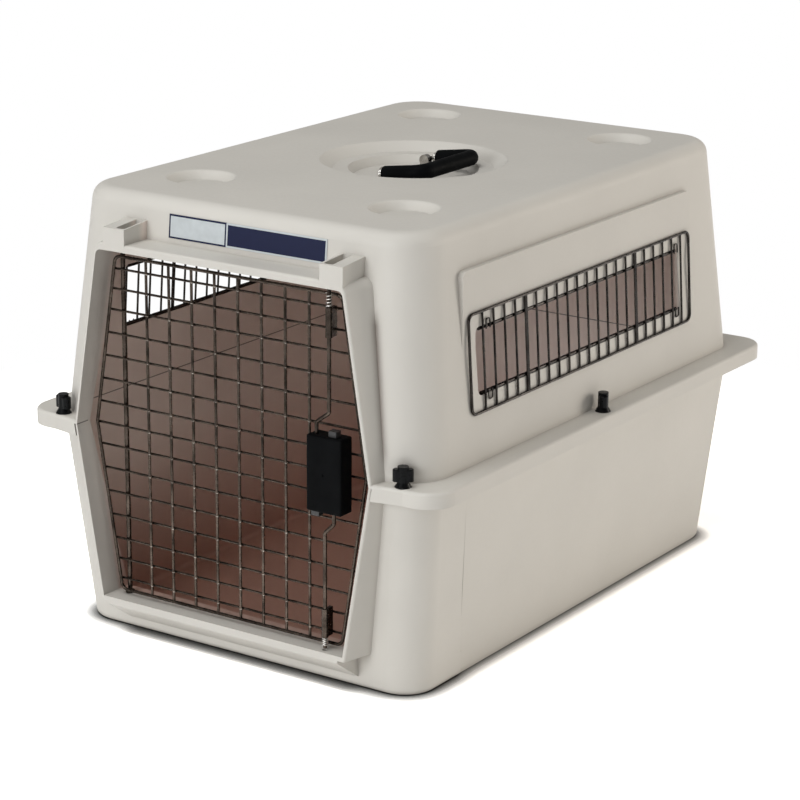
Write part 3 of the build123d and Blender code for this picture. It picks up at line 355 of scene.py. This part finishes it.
def plastic_material(name, color, roughness, specular):
    """Moulded plastic, a little lighter where it is worn."""
    s = Shader(name)
    wear = s.remap(s.noise(PLASTIC_WEAR_SCALE, 4.0), PLASTIC_WEAR_SPAN)
    s.set(Base_Color=s.mix(wear, color, scaled(color, WORN_SHARE, WORN_LIFT)))
    gloss = [roughness + change for change in PLASTIC_GLOSS]
    s.set(Roughness=s.spread(PLASTIC_GLOSS_SCALE, 3.0, *gloss))
    s.set(Specular_IOR_Level=specular)
    s.bump(s.noise(PLASTIC_GRAIN_SCALE), *PLASTIC_BUMP)
    return s.material


def steel_material(name, plated, dulled, roughness):
    """Plated wire, dulled in patches."""
    s = Shader(name)
    patches = s.noise(STEEL_PATCH_SCALE, 4.0, STEEL_PATCH_ROUGHNESS)
    patches = s.remap(patches, STEEL_PATCH_SPAN)
    s.set(Base_Color=s.mix(patches, plated, dulled), Metallic=1.0)
    gloss = [roughness + change for change in STEEL_GLOSS]
    s.set(Roughness=s.spread(STEEL_GLOSS_SCALE, 3.0, *gloss))
    s.bump(s.noise(STEEL_GRAIN_SCALE), *STEEL_BUMP)
    return s.material


def label_material():
    """Blank printed sheet: white on the left, navy on the right, each with a thin border."""
    s = Shader("label_sheet")
    low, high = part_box("label_plate")
    split = low.x + LABEL_SPLIT * (high.x - low.x)
    x, z = s.axis("X"), s.axis("Z")
    navy = s.math("GREATER_THAN", x, split)
    border = s.near(z, low.z, LABEL_EDGE)
    for value, line in ((z, high.z), (x, low.x), (x, high.x), (x, split)):
        border = s.math("MAXIMUM", border, s.near(value, line, LABEL_EDGE))
    ground = s.mix(navy, LABEL_WHITE, LABEL_NAVY)
    edge = s.mix(navy, LABEL_NAVY, LABEL_WHITE)
    tone = s.node("ShaderNodeVectorMath", operation="SCALE")
    s.put(s.mix(border, ground, edge), tone.inputs[0])
    s.put(s.spread(LABEL_PRINT_SCALE, 3.0, *LABEL_PRINT), tone.inputs["Scale"])
    s.set(Base_Color=tone.outputs[0], Roughness=LABEL_ROUGHNESS)
    s.set(Specular_IOR_Level=LABEL_SPECULAR)
    s.bump(s.noise(LABEL_GRAIN_SCALE), *LABEL_BUMP)
    return s.material


def floor_material():
    """White floor that keeps the object's shadow, and is plain white further out."""
    s = Shader("floor_white")
    rays = s.node("ShaderNodeLightPath")
    seen = s.math("MAXIMUM", rays.outputs["Is Camera Ray"], rays.outputs["Is Glossy Ray"])
    seen = s.math("MAXIMUM", seen, rays.outputs["Is Transmission Ray"])
    shade = s.math("POWER", s.openness(CONTACT_REACH, CONTACT_SAMPLES), CONTACT_POWER)
    grey = s.node("ShaderNodeCombineColor")
    for name in ("Red", "Green", "Blue"):
        s.put(s.math("MULTIPLY", shade, FLOOR_SEEN), grey.inputs[name])
    s.set(Base_Color=s.mix(seen, FLOOR_LIT, grey.outputs[0]))
    s.set(Roughness=1.0, Specular_IOR_Level=0.0)
    distance = s.node("ShaderNodeVectorMath", operation="LENGTH")
    s.put(s.place, distance.inputs[0])
    far = s.remap(distance.outputs["Value"], (FLOOR_WHITE_R, FLOOR_WHITE_R + FLOOR_FADE))
    mix = s.node("ShaderNodeMixShader")
    s.put(s.product(far, seen), mix.inputs[0])
    s.put(s.surface.outputs[0], mix.inputs[1])
    s.put(s.node("ShaderNodeEmission").outputs[0], mix.inputs[2])
    s.put(mix.outputs[0], s.output.inputs["Surface"])
    return s.material


def make_materials():
    made = {"shell_plastic": shell_material(), "label_sheet": label_material()}
    for name, look in PLASTICS.items():
        made[name] = plastic_material(name, *look)
    for name, look in STEELS.items():
        made[name] = steel_material(name, *look)
    return made


def dress_cad(materials):
    """Gives each CAD node its procedural material."""
    for part in frame["record"]["subparts"]:
        dark = part["node"] in DARK_RODS
        look = materials["door_steel" if dark else part["material_slot"]]
        slots = nodes[part["node"]].data.materials
        for i in range(len(slots)):
            slots[i] = look


# ---------------------------------------------------------------- small steel pieces
def add_object(name, data):
    made = bpy.data.objects.new(name, data)
    bpy.context.scene.collection.objects.link(made)
    return made


def add_mesh(name, mesh, material, body):
    """Object of a finished bmesh, riding on a CAD body."""
    for face in mesh.faces:
        face.smooth = True
    data = bpy.data.meshes.new(name)
    mesh.to_mesh(data)
    mesh.free()
    data.materials.append(material)
    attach(add_object(name, data), body)


def loose_boxes(name):
    """Lowest and highest corners of each unconnected bit of a node's mesh."""
    mesh = nodes[name].data
    group = list(range(len(mesh.vertices)))

    def root(i):
        while group[i] != i:
            group[i] = group[group[i]]
            i = group[i]
        return i

    for edge in mesh.edges:
        a, b = [root(i) for i in edge.vertices]
        group[a] = b
    bits = {}
    for vertex in mesh.vertices:
        place = nodes[name].matrix_world @ vertex.co
        bits.setdefault(root(vertex.index), []).append(place)
    return [
        [Vector(pick(axis) for axis in zip(*points)) for pick in (min, max)]
        for points in bits.values()
    ]


def add_ring(mesh, middle, axis, radius, wire_r, turns=1.0, rise=0.0):
    """Round wire bent into a ring, or into a coil that climbs by `rise` along its axis."""
    across = axis.orthogonal().normalized()
    beside = axis.cross(across)
    steps = int(RING_STEPS * turns)
    rows = []
    for i in range(steps + 1):
        angle = 2 * math.pi * i / RING_STEPS
        out = math.cos(angle) * across + math.sin(angle) * beside
        centre = middle + radius * out + axis * rise * (i / steps)
        row = []
        for j in range(WIRE_STEPS):
            turn = 2 * math.pi * j / WIRE_STEPS
            side = math.cos(turn) * out + math.sin(turn) * axis
            row.append(mesh.verts.new(centre + wire_r * side))
        rows.append(row)
    for low, high in zip(rows, rows[1:]):
        for j in range(WIRE_STEPS):
            k = (j + 1) % WIRE_STEPS
            mesh.faces.new((low[j], low[k], high[k], high[j]))
    for row in (rows[0], rows[-1]):
        mesh.faces.new(row)


def make_welds(steel):
    """Small weld beads where the door's upright and cross wires meet."""
    beads = bmesh.new()
    crosses = loose_boxes("door_cross_wires")
    for low, high in loose_boxes("door_vertical_wires"):
        x = (low.x + high.x) / 2
        for cross_low, cross_high in crosses:
            y = (max(low.y, cross_low.y) + min(high.y, cross_high.y)) / 2
            z = (cross_low.z + cross_high.z) / 2
            if cross_low.x < x < cross_high.x and low.z < z < high.z:
                place = Matrix.Translation((x, y - WELD_OUT, z))
                bmesh.ops.create_icosphere(beads, subdivisions=2, radius=WELD_R, matrix=place)
    add_mesh("door_welds", beads, steel, "door")


def make_springs(steel):
    """Coil round each latch rod, between its guide and the end of the rod."""
    coils = bmesh.new()
    guides = loose_boxes("rod_guides")
    guide_foot = min(low.z for low, high in guides)
    guide_top = max(high.z for low, high in guides)
    rods = (("lower_latch_rod", 0, guide_foot), ("upper_latch_rod", 1, guide_top))
    for name, end, start_z in rods:
        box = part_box(name)
        start = Vector((LATCH_ROD_X[end], (box[0].y + box[1].y) / 2, start_z))
        rise = (box[end].z - start_z) * COIL_SHARE
        add_ring(coils, start, Vector((0, 0, 1)), COIL_R, COIL_WIRE_R, COIL_TURNS, rise)
    add_mesh("rod_springs", coils, steel, "door")


def make_grip_collars(steel):
    """Bright collars on the bail where it leaves the grip."""
    collars = bmesh.new()
    grip_low, grip_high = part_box("handle_grip")
    tilt = math.radians(HANDLE_TILT)
    along = Vector((math.cos(tilt), 0.0, math.sin(tilt)))
    for y in (grip_low.y + GRIP_R, grip_high.y - GRIP_R):
        start = Vector((PIVOT_X, y, PIVOT_Z)) + GRIP_START * along
        for back in COLLAR_STEPS:
            add_ring(collars, start - back * along, along, COLLAR_R, COLLAR_WIRE_R)
    add_mesh("grip_collars", collars, steel, "handle")


# ---------------------------------------------------------------- stage
def make_floor():
    bpy.ops.mesh.primitive_plane_add(size=FLOOR_SIZE, location=(0, 0, 0))
    floor = bpy.context.object
    floor.name = "floor"
    floor.data.materials.append(floor_material())


def make_world():
    """White to the camera, and a plain soft light to everything else."""
    world = bpy.data.worlds.new("studio")
    bpy.context.scene.world = world
    world.use_nodes = True
    tree = world.node_tree
    tree.nodes.clear()
    rays = tree.nodes.new("ShaderNodeLightPath")
    light = tree.nodes.new("ShaderNodeBackground")
    light.inputs["Color"].default_value = WORLD_COLOR
    light.inputs["Strength"].default_value = WORLD_LEVEL
    seen = tree.nodes.new("ShaderNodeBackground")
    seen.inputs["Color"].default_value = (1.0, 1.0, 1.0, 1.0)
    seen.inputs["Strength"].default_value = 1.0
    mix = tree.nodes.new("ShaderNodeMixShader")
    output = tree.nodes.new("ShaderNodeOutputWorld")
    tree.links.new(rays.outputs["Is Camera Ray"], mix.inputs[0])
    tree.links.new(light.outputs[0], mix.inputs[1])
    tree.links.new(seen.outputs[0], mix.inputs[2])
    tree.links.new(mix.outputs[0], output.inputs["Surface"])


def make_lights():
    """Large soft lamps, each turned towards the object."""
    for name, (place, size, watts, color) in LAMPS.items():
        light = bpy.data.lights.new(name, "AREA")
        light.shape = "RECTANGLE"
        light.size, light.size_y = size
        light.energy = watts
        light.color = color
        lamp = add_object(name, light)
        lamp.location = place
        lamp.rotation_mode = "QUATERNION"
        aim = Vector(LIT_POINT) - Vector(place)
        lamp.rotation_quaternion = aim.to_track_quat("-Z", "Y")


def make_camera():
    angles = (CAMERA_AZIMUTH, CAMERA_ELEVATION, CAMERA_ROLL)
    azimuth, elevation, roll = [math.radians(angle) for angle in angles]
    level = math.cos(elevation)
    back = Vector((math.sin(azimuth) * level, -math.cos(azimuth) * level, math.sin(elevation)))
    right = Vector((math.cos(azimuth), math.sin(azimuth), 0.0))
    up = back.cross(right)
    turned_right = math.cos(roll) * right + math.sin(roll) * up
    turned_up = back.cross(turned_right)
    lens = bpy.data.cameras.new("camera")
    lens.lens = CAMERA_LENS
    lens.sensor_width = CAMERA_SENSOR
    camera = add_object("camera", lens)
    axes = Matrix((turned_right, turned_up, back)).transposed()
    camera.matrix_world = Matrix.Translation(CAMERA_PLACE) @ axes.to_4x4()
    bpy.context.scene.camera = camera


materials = make_materials()
dress_cad(materials)
make_welds(materials["weld_steel"])
make_springs(materials["small_steel"])
make_grip_collars(materials["small_steel"])
make_floor()
make_world()
make_lights()
make_camera()
bpy.context.scene.view_settings.view_transform = "Standard"
